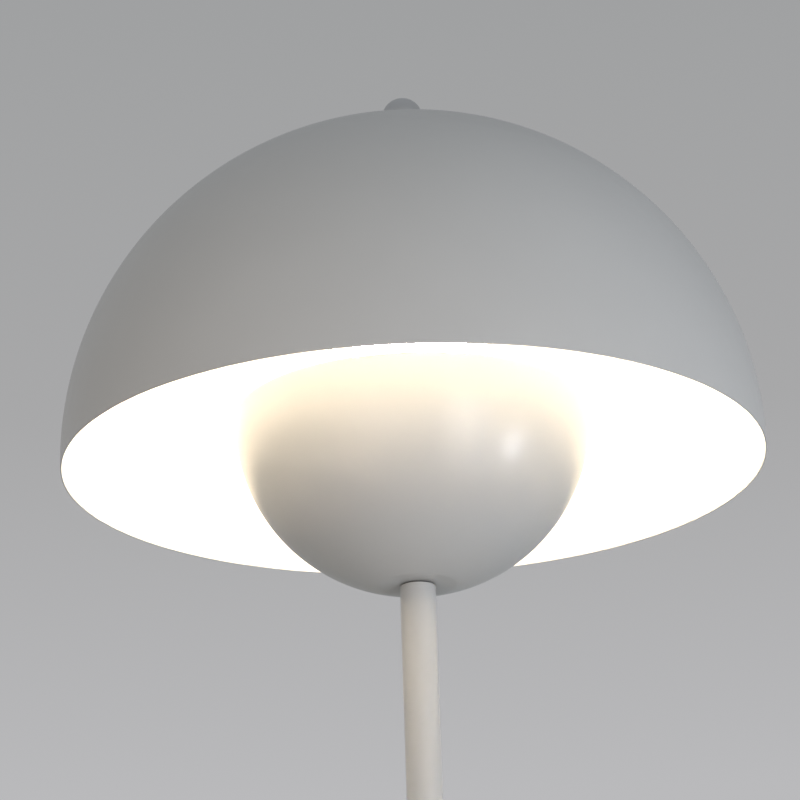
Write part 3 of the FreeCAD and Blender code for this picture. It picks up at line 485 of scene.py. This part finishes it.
# %% The domed nut
NUT_FOOT, NUT_FOOT_HEIGHT, NUT_FLARE = 9.0, 1.6, 1.4     # foot's radius and height, flare's height
NUT_BORE_DEPTH = 13.5
nut_radius, nut_low, nut_high = box_mm("finial")
flare_top = nut_low + NUT_FOOT_HEIGHT + NUT_FLARE
nut_corners = rounded([
    (0, nut_low + NUT_BORE_DEPTH, 0), (STUD_TAPPED, nut_low + NUT_BORE_DEPTH, 0), (STUD_TAPPED, nut_low, 0.4),
    (NUT_FOOT, nut_low, 0.4), (NUT_FOOT, nut_low + NUT_FOOT_HEIGHT, 0.3), (nut_radius, flare_top, 0.8),
    (nut_radius, nut_high - nut_radius, 0)])
nut_line = np.concatenate((nut_corners, arc(0, nut_high - nut_radius, nut_radius, 0, 90, 32)[1:]))
place(mesh_of("domed_nut", [turn(nut_line, AROUND_CUP)], closed_rows=False),
      "finial", "polished_nickel", ["finial"], satin_nickel)

# %% [markdown]
# ## The bent-rod carrier
#
# Three rods hold the shade over the bulb.  Each is 4 mm steel wire, threaded at its foot and head, and
# bent four times on one former: it leaves the ring upright, leans out round the bulb, runs straight up,
# leans in under the crown and ends upright in the hub.  This is the lamp's cleverest piece, because
# three wires cast almost no shadow and still hold a steel dome level.


# %% Screw threads
LAST_ROW_GAP = 0.05                          # least height between a thread's last row and its end


def v_thread(height, angles, pitch, depth):
    """Depth below the crest of a V thread: depth * |2 frac(height / pitch - angle / 2 pi) - 1|."""
    return depth * np.abs(2 * ((height / pitch - angles / (2 * math.pi)) % 1) - 1)


def tube_along(path, radii):
    """Grid of points round a path in the X-Z plane: centre + radius (cos a normal + sin a Y).

    radii has a row for each point of the path, and one column or as many as there are angles.  The
    path's two end points are added as rows of their own, which close the tube's ends.
    """
    along = unit(np.gradient(path, axis=0))
    angles = np.arange(AROUND_ROD) * 2 * math.pi / AROUND_ROD
    across, sideways = radii * np.cos(angles), radii * np.sin(angles)
    x = path[:, :1] - along[:, 1:] * across
    z = path[:, 1:] + along[:, :1] * across
    ends = [np.tile((spot[0], 0, spot[1]), (1, AROUND_ROD, 1)) for spot in (path[0], path[-1])]
    return np.concatenate((ends[0], np.stack((x, sideways, z), axis=-1), ends[1]))


# %% The bent-rod carrier
ARM_RADIUS, ARM_BEND = 2.0, 14.0
ARM_AZIMUTHS = (90, 210, 330)
THREAD_PITCH, THREAD_DEPTH = 0.7, 0.4        # M4
FOOT_THREAD, HEAD_THREAD = 8.0, 9.0          # threaded lengths at the foot and at the head
THREAD_ROWS = 6                              # rows of points in each turn of the thread
FOOT_R, CAGE_R, HEAD_R = 26.0, 46.0, 11.0    # how far the rod is from the axis on each straight run
LEAN_OUT, CAGE_START = 12.0, 44.0            # heights of the first two bends over the ring
CAGE_END, LEAN_IN = 60.0, 11.0               # depths of the last two bends under the hub
ROD_BELOW_HUB_TOP = 1.0
_, ring_low, ring_high = box_mm("carrier_ring")
_, hub_low, hub_high = box_mm("carrier_hub")
rod_top = hub_high - ROD_BELOW_HUB_TOP
bends = rounded([
    (FOOT_R, ring_low, 0),
    (FOOT_R, ring_high + LEAN_OUT, ARM_BEND),
    (CAGE_R, ring_high + CAGE_START, ARM_BEND),
    (CAGE_R, hub_low - CAGE_END, ARM_BEND),
    (HEAD_R, hub_low - LEAN_IN, ARM_BEND),
    (HEAD_R, rod_top, 0)], steps=10)
foot_rows = np.arange(ring_low, ring_low + FOOT_THREAD, THREAD_PITCH / THREAD_ROWS)
head_rows = np.arange(rod_top - HEAD_THREAD, rod_top - LAST_ROW_GAP, THREAD_PITCH / THREAD_ROWS)
head_rows = np.append(head_rows, rod_top)
path = np.concatenate((
    np.column_stack((0 * foot_rows + FOOT_R, foot_rows)), bends[1:-1],
    np.column_stack((0 * head_rows + HEAD_R, head_rows))))
heights = path[:, 1:]
angles = np.arange(AROUND_ROD) * 2 * math.pi / AROUND_ROD
threaded = (heights < ring_low + FOOT_THREAD) | (heights > rod_top - HEAD_THREAD)
radii = ARM_RADIUS - np.where(threaded, v_thread(heights, angles, THREAD_PITCH, THREAD_DEPTH), 0)
for number, azimuth in enumerate(ARM_AZIMUTHS, 1):
    grid = turned_about_z(tube_along(path, radii), azimuth)
    place(mesh_of(f"bent_rod_{number}", [grid], closed_rows=False),
          "stand", "carrier_paint", [f"carrier_arm_{number}"], white_enamel)

# %% [markdown]
# ## Nuts and the stud
#
# A real hexagon nut has its corners turned off by a cone at each end, which leaves the curved line that
# people know a nut by.  The section below is that turning, and the hexagon then limits its radius.  The
# stud is M6 and stands up through the shade, so it shows when the shade is lifted off.


# %% Nuts and the stud
CONE_START = 0.96                            # share of the flats where the corners' cone starts
NUT_EASE = 0.3                               # countersink of the bore
# Across the flats, thickness and radius of the bore, for the rods' nuts and for the lock nut.
M4_FLATS, M4_THICKNESS, M4_BORE = 7.0, 3.2, 2.05
M10_FLATS, M10_THICKNESS, M10_BORE = 14.0, 4.0, 5.05


def hex_nut(flats, thickness, bore):
    """Grid of points of a nut: its section reaches the hexagon's edge, flats / 2 / cos(a), at angle a.

    The cone that eases the corners starts at CONE_START of the flats and rises at 30 degrees.
    """
    angles = np.arange(AROUND_SMALL) * 2 * math.pi / AROUND_SMALL
    edge = flats / 2 / np.cos((angles % (math.pi / 3)) - math.pi / 6)
    face = np.full(AROUND_SMALL, flats / 2 * CONE_START)
    cone = (edge - face) * math.tan(math.radians(30))
    inner = np.full(AROUND_SMALL, bore)
    none = np.zeros(AROUND_SMALL)
    r = np.stack((inner + NUT_EASE, face, edge, edge, face, inner + NUT_EASE, inner, inner))
    z = np.stack((none, none, cone, thickness - cone, none + thickness, none + thickness,
                  none + thickness - NUT_EASE, none + NUT_EASE))
    return np.stack((r * np.cos(angles), r * np.sin(angles), z), axis=-1)


M4_NUT = hex_nut(M4_FLATS, M4_THICKNESS, M4_BORE)
for name, node, distance, height in (
        ("foot_nuts", "arm_lower_nuts", FOOT_R, ring_high),
        ("head_nuts", "arm_upper_nuts", HEAD_R, hub_low - M4_THICKNESS)):
    nuts = [turned_about_z(M4_NUT + (distance, 0, height), azimuth) for azimuth in ARM_AZIMUTHS]
    place(mesh_of(name, nuts), "stand", "zinc_steel", [node], zinc_plate)
lock_nut = hex_nut(M10_FLATS, M10_THICKNESS, M10_BORE) + (0, 0, ring_high)
place(mesh_of("lock_nut", [lock_nut]), "stand", "zinc_steel", ["holder_lock_nut"], zinc_plate)

STUD_PITCH, STUD_DEPTH, STUD_TIP = 1.0, 0.6, 0.7     # M6, with its tip chamfered
STUD_ROWS = 8                                # rows of points in each turn of the thread
stud_radius, stud_low, stud_high = box_mm("carrier_stud")
heights = np.arange(stud_low, stud_high - LAST_ROW_GAP, STUD_PITCH / STUD_ROWS)
heights = np.append(heights, stud_high)[:, None]
angles = np.arange(AROUND_SMALL) * 2 * math.pi / AROUND_SMALL
radii = stud_radius - v_thread(heights, angles, STUD_PITCH, STUD_DEPTH)
radii = np.minimum(radii, stud_radius - STUD_TIP + (stud_high - heights))
radii = np.concatenate((0 * radii[:1], radii, 0 * radii[:1]))
heights = np.concatenate((heights[:1], heights, heights[-1:])) + 0 * angles
stud = np.stack((radii * np.cos(angles), radii * np.sin(angles), heights), axis=-1)
place(mesh_of("threaded_stud", [stud], closed_rows=False),
      "stand", "zinc_steel", ["carrier_stud"], zinc_plate)

# %% [markdown]
# ## The lampholder
#
# The holder is two moulded cups that screw together round the contacts.  The lower one screws on to
# the hollow nipple by its boss, and the upper one has a lip that keeps fingers off the bulb's cap.

# %% The lampholder
CUP_RADIUS, BOSS_RADIUS = 20.0, 8.0
BOSS_TOP, CUP_SHOULDER = 7.0, 17.0           # heights where the cone starts and ends
FLOOR_TOP = 8.5                              # of the cup's floor, inside
CUP_INSIDE, LEDGE_RADIUS, LEDGE_TOP = 17.0, 18.5, 22.0   # the ledge takes the upper cup's foot
_, cap_low, cap_high = box_mm("holder_cap")
cap_top = cap_high - cap_low
cap_section = rounded([
    (M10_BORE, 0, 0.3), (BOSS_RADIUS, 0, 0.5), (BOSS_RADIUS, BOSS_TOP, 1.0), (CUP_RADIUS, CUP_SHOULDER, 2.0),
    (CUP_RADIUS, cap_top, 0.4), (LEDGE_RADIUS, cap_top, 0.3), (LEDGE_RADIUS, LEDGE_TOP, 0),
    (CUP_INSIDE, LEDGE_TOP, 0.3), (CUP_INSIDE, CUP_SHOULDER, 1.0), (BOSS_RADIUS, FLOOR_TOP, 0.5),
    (M10_BORE, FLOOR_TOP, 0.3)]) + (0, cap_low)
place(mesh_of("holder_lower_cup", [turn(cap_section, AROUND_CUP)]),
      "stand", "holder_plastic", ["holder_cap"], white_thermoplastic)

GRIP_HEIGHT, GRIP_STEP = 4.0, 0.6            # the grip is the wider ring at the upper cup's foot
SHELL_BORE, MOUTH_RADIUS, LIP_THICKNESS = 17.9, 14.6, 2.5
_, shell_low, shell_high = box_mm("holder_shell")
shell_top = shell_high - shell_low
sleeve_radius, lip_low = CUP_RADIUS - GRIP_STEP, shell_top - LIP_THICKNESS
shell_section = rounded([
    (SHELL_BORE, 0, 0.3), (CUP_RADIUS, 0, 0.4), (CUP_RADIUS, GRIP_HEIGHT, 0.3),
    (sleeve_radius, GRIP_HEIGHT + GRIP_STEP, 0.3), (sleeve_radius, shell_top, 1.0),
    (MOUTH_RADIUS, shell_top, 0.5), (MOUTH_RADIUS, lip_low, 0.5), (SHELL_BORE, lip_low, 0.5)]) + (0, shell_low)
place(mesh_of("holder_upper_cup", [turn(shell_section, AROUND_CUP)]),
      "stand", "holder_plastic", ["holder_shell"], white_thermoplastic)

# %% [markdown]
# ## The bulb
#
# The bulb is a pear: a ball, a cone that leaves the ball at a tangent, and a blend into the neck.  The
# glass is opal, so the filaments only show as an even glow.  Its screw cap is rolled from thin sheet,
# so the thread is round, not sharp, and the sheet is plain near its top where the glass is cemented in.

# %% The bulb
BALL, NECK, NECK_BLEND = 30.0, 12.4, 9.0     # radii of the ball, the neck and the blend between
FLARE_DEGREES = 35                           # lean of the cone's side from upright
FLARE = math.radians(FLARE_DEGREES)
_, glass_low, glass_high = box_mm("bulb_glass")
ball_centre = glass_high - BALL
cone_top = (BALL * math.cos(FLARE), ball_centre - BALL * math.sin(FLARE))
cone_foot = cone_top[1] - (cone_top[0] - NECK) / math.tan(FLARE)
neck_line = rounded([
    (0, glass_low, 0), (NECK, glass_low, 0.5), (NECK, cone_foot, NECK_BLEND), (*cone_top, 0)], steps=12)
glass_line = np.concatenate((neck_line, arc(0, ball_centre, BALL, -FLARE_DEGREES, 90, 48)[1:]))
place(mesh_of("opal_pear", [turn(glass_line, AROUND)], closed_rows=False),
      "bulb", "opal_glass", ["bulb_glass"], opal_glass)

E27_PITCH, E27_DEPTH, SHEET = 3.629, 1.0, 0.5
LEAD_IN, PLAIN_TOP, RUN_OUT = 1.5, 5.0, 2.0  # heights of the plain foot, the plain top and the fade
CAP_HOLE, CAP_FLOOR = 4.5, 11.5              # the hole is filled by black glass
CAP_FOOT, CAP_CORNER, CORNER_RISE = 11.8, 12.3, 0.3
cap_radius, cup_low, cup_high = box_mm("bulb_cap")
heights = np.linspace(cup_low + LEAD_IN, cup_high - SHEET / 2, 96)[:, None]
angles = np.arange(AROUND) * 2 * math.pi / AROUND
starts = np.clip((heights - cup_low - LEAD_IN) / RUN_OUT, 0, 1)
ends = np.clip((cup_high - PLAIN_TOP - heights) / RUN_OUT, 0, 1)
waves = (1 + np.cos(2 * math.pi * (heights / E27_PITCH - angles / (2 * math.pi)))) / 2
outside = cap_radius - E27_DEPTH * waves * np.minimum(starts, ends)
under = [np.full((1, AROUND), radius) for radius in (CAP_HOLE, CAP_FOOT, CAP_CORNER)]
inside = [np.full((1, AROUND), radius) for radius in (CAP_FLOOR, CAP_HOLE)]
r = np.concatenate((*under, outside, outside[-1:] - SHEET / 2, outside[::-1] - SHEET, *inside))
z = np.concatenate((
    [[cup_low]], [[cup_low]], [[cup_low + CORNER_RISE]], heights, [[cup_high]], heights[::-1],
    [[cup_low + SHEET]], [[cup_low + SHEET]])) + 0 * angles
cap = np.stack((r * np.cos(angles), r * np.sin(angles), z), axis=-1)
place(mesh_of("rolled_screw_cap", [cap]), "bulb", "cap_nickel", ["bulb_cap"], cap_nickel)

# %% [markdown]
# ## The base
#
# The cover is pressed from sheet.  Its side turns over a generous round, and its top rises very
# slightly to the flat where the stem stands, so water or a cloth runs off it.  Under it lies a rubber
# pad, and at the back is the bush that the mains cord comes in by.

# %% The base
COVER_WALL, COVER_HOLE, COVER_FLAT = 1.5, 5.3, 24.0      # sheet, radius of the hole, radius of the flat
COVER_SHOULDER = 22.0                        # height where the side turns into the top
COVER_ROUND, CROWN_BLEND = 8.0, 150.0        # rounds at the shoulder and at the edge of the flat
cover_radius, cover_low, cover_high = box_mm("base_cover")
side_foot = cover_low + COVER_WALL / 2
cover_line = rounded([
    (cover_radius, side_foot, 0), (cover_radius, side_foot + COVER_WALL, 0),
    (cover_radius, COVER_SHOULDER, COVER_ROUND), (COVER_FLAT, cover_high, CROWN_BLEND),
    (COVER_HOLE + COVER_WALL, cover_high, 0), (COVER_HOLE + COVER_WALL / 2, cover_high, 0)], steps=12)
place(mesh_of("pressed_cover", [turn(walled(cover_line, COVER_WALL), AROUND)]),
      "stand", "body_paint", ["base_cover"], grey_powder_coat)

pad_radius, pad_low, pad_high = box_mm("base_pad")
pad_line = rounded([
    (0, pad_low, 0), (pad_radius, pad_low, 0.8), (pad_radius, pad_high, 0.3), (0, pad_high, 0)])
place(mesh_of("moulded_pad", [turn(pad_line, AROUND)], closed_rows=False),
      "stand", "foot_rubber", ["base_pad"], pad_rubber)

# The bush is turned like the rest and then laid along Y: (x, y, z) goes to (x, z, -y).
GLAND_HEIGHT = 9.0                           # of the bush's axis over the floor
GLAND_BORE, GLAND_NECK, GLAND_HEAD = 3.2, 4.6, 6.5
GLAND_SHOULDER, GLAND_LENGTH = 12.0, 14.0
gland_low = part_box("cord_gland")[0].y / MM
gland_section = rounded([
    (GLAND_BORE, 0, 0.3), (GLAND_NECK, 0, 0.4), (GLAND_NECK, GLAND_SHOULDER, 0),
    (GLAND_HEAD, GLAND_SHOULDER, 0.2), (GLAND_HEAD, GLAND_LENGTH, 1.2), (GLAND_BORE, GLAND_LENGTH, 0.8)])
x, y, z = np.moveaxis(turn(gland_section, AROUND_SMALL), -1, 0)
place(mesh_of("cord_bush", [np.stack((x, gland_low + z, GLAND_HEIGHT - y), axis=-1)]),
      "stand", "gland_plastic", ["cord_gland"], grey_nylon)

# %% [markdown]
# ## Everything inside
#
# The remaining pieces are out of sight in the base, the stem, the holder and the bulb.  Their packed
# shapes are right as they are, so each only gets the material that the real one is made of.

# %% Everything inside
INNER_PIECES = {
    sand_cast_iron: ["base_weight"],
    zinc_plate: ["base_nipple", "base_washer", "base_nut", "terminal_screws", "stem_foot_bush",
                 "joint_plug_lower", "joint_bush_lower", "joint_plug_upper", "joint_bush_upper",
                 "stem_head_bush", "head_nipple", "holder_screws"],
    grey_nylon: ["gland_nut"],
    white_nylon: ["terminal_block"],
    white_thermoplastic: ["holder_body"],
    brass: ["holder_sleeve", "holder_contact", "holder_terminals"],
    brown_pvc: ["lead_live"],
    blue_pvc: ["lead_neutral"],
    clear_glass: ["bulb_mount"],
    phosphor: ["bulb_filaments"],
    black_glass: ["bulb_insulator"],
    solder: ["bulb_contact"],
}
for material, names in INNER_PIECES.items():
    for name in names:
        for material_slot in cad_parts[name].material_slots:
            material_slot.material = material
    print(f"{material.name}: {', '.join(names)}")

# %% [markdown]
# ## Floor and surroundings
#
# The floor is a large pale sheet, so it is under the lamp from every side, and it is dull, so it mirrors
# nothing.  The walls are not built.  Where the camera looks past the lamp, and where metal mirrors the
# room, the world shows a grey that is lightest a little above the horizon and darker over that, as a
# wall is above a lamp whose light goes down.  Every other ray gets an even and slightly cool grey,
# which is the light that comes back off a room's walls.

# %% Floor and surroundings
FLOOR_HALF = 40.0                            # half its width, in metres
ROOM_LIGHT = 0.47                            # radiance from every side, where white paper is about 1
floor_mesh = bpy.data.meshes.new("studio_floor")
square = [(-FLOOR_HALF, -FLOOR_HALF, 0), (FLOOR_HALF, -FLOOR_HALF, 0), (FLOOR_HALF, FLOOR_HALF, 0),
          (-FLOOR_HALF, FLOOR_HALF, 0)]
floor_mesh.from_pydata(square, [], [(0, 1, 2, 3)])
floor = bpy.data.objects.new("studio_floor", floor_mesh)
scene.collection.objects.link(floor)
pale_floor = finish("pale_floor", "#D2D0CC", 0.75, tone=0.01, tone_mm=400, relief_um=2, relief_mm=3)
floor_mesh.materials.append(pale_floor)

world = bpy.data.worlds.new("studio")
scene.world = world
world.use_nodes = True
sky = world.node_tree
sky.nodes.clear()
rise = add(sky, "ShaderNodeSeparateXYZ", {"Vector": add(sky, "ShaderNodeTexCoord", {}).outputs["Generated"]})
wall = add(sky, "ShaderNodeValToRGB", {"Fac": rise.outputs["Z"]})
WALL_SHADES = (                              # sine of the angle over the horizon, and the colour there
    (0.0, "#A2A3A4"), (0.24, "#BABABC"), (0.34, "#A8A8A9"), (0.44, "#A0A1A2"), (0.70, "#9C9D9F"),
    (1.0, "#A2A3A6"))
elements = wall.color_ramp.elements
elements[0].position, elements[1].position = WALL_SHADES[0][0], WALL_SHADES[-1][0]
elements[0].color, elements[1].color = linear(WALL_SHADES[0][1]), linear(WALL_SHADES[-1][1])
for position, shade_of_grey in WALL_SHADES[1:-1]:
    elements.new(position).color = linear(shade_of_grey)
path_kind = add(sky, "ShaderNodeLightPath", {})
seen = path_kind.outputs["Is Camera Ray"]
for kind in ("Is Glossy Ray", "Is Transmission Ray"):
    seen = add(sky, "ShaderNodeMath", {0: seen, 1: path_kind.outputs[kind]}, operation="MAXIMUM").outputs[0]
shown = add(sky, "ShaderNodeBackground", {"Color": wall.outputs["Color"], "Strength": 1.0})
lighting = add(sky, "ShaderNodeBackground", {"Color": linear("#F3FAFF"), "Strength": ROOM_LIGHT})
either = add(sky, "ShaderNodeMixShader", {0: seen, 1: lighting.outputs[0], 2: shown.outputs[0]})
add(sky, "ShaderNodeOutputWorld", {"Surface": either.outputs[0]})

# %% [markdown]
# ## Studio lights
#
# A small soft box low on the right leaves the bright mark on the bowl.  Two wide ones in front stand for
# light that comes back off pale walls, cool on the right and warm on the left, and two weak ones near
# the floor stand for light off the floor.  Each box has a grid over it.  The grid narrows the beam, so
# the light stays on the lamp's head and leaves no bright patch on the floor.


# %% Studio lights
def soft_box(name, place_at, aim, width, height, beam, watts, colour):
    """A rectangular area light at a place, with its -Z axis towards the aim.

    Places and sizes are in metres.  beam is the full angle that the light's grid lets out, in degrees.
    """
    light = bpy.data.lights.new(name, "AREA")
    light.shape, light.size, light.size_y = "RECTANGLE", width, height
    light.spread = math.radians(beam)
    light.energy = watts
    light.color = linear(colour)[:3]
    box = bpy.data.objects.new(name, light)
    box.location = place_at
    box.rotation_euler = (Vector(aim) - Vector(place_at)).to_track_quat("-Z", "Y").to_euler()
    box.visible_camera = False
    scene.collection.objects.link(box)


HEAD = (0.0, 0.0, 1.27)                      # the middle of the lamp's head
WIDE = 1.2                                   # side of a wide box
KEY_BEAM, WIDE_BEAM = 60, 90
soft_box("key_box", (2.22, -0.63, 0.42), HEAD, 0.30, 0.36, KEY_BEAM, 1.3, "#F7F8FF")
soft_box("right_wall_box", (1.35, -1.85, 0.82), HEAD, WIDE, WIDE, WIDE_BEAM, 4.5, "#F5F9FF")
soft_box("left_wall_box", (-0.9, -2.2, 0.80), HEAD, WIDE, WIDE, WIDE_BEAM, 2.7, "#FFEEDE")
soft_box("right_floor_box", (1.0, -1.0, 0.15), HEAD, WIDE, WIDE, WIDE_BEAM, 2.1, "#F7F8FF")
soft_box("left_floor_box", (-1.0, -1.0, 0.15), HEAD, WIDE, WIDE, WIDE_BEAM, 1.6, "#FFE4CC")

# A plain sRGB curve, so a grey named in this file is the same grey in the picture.
scene.view_settings.view_transform = "Standard"
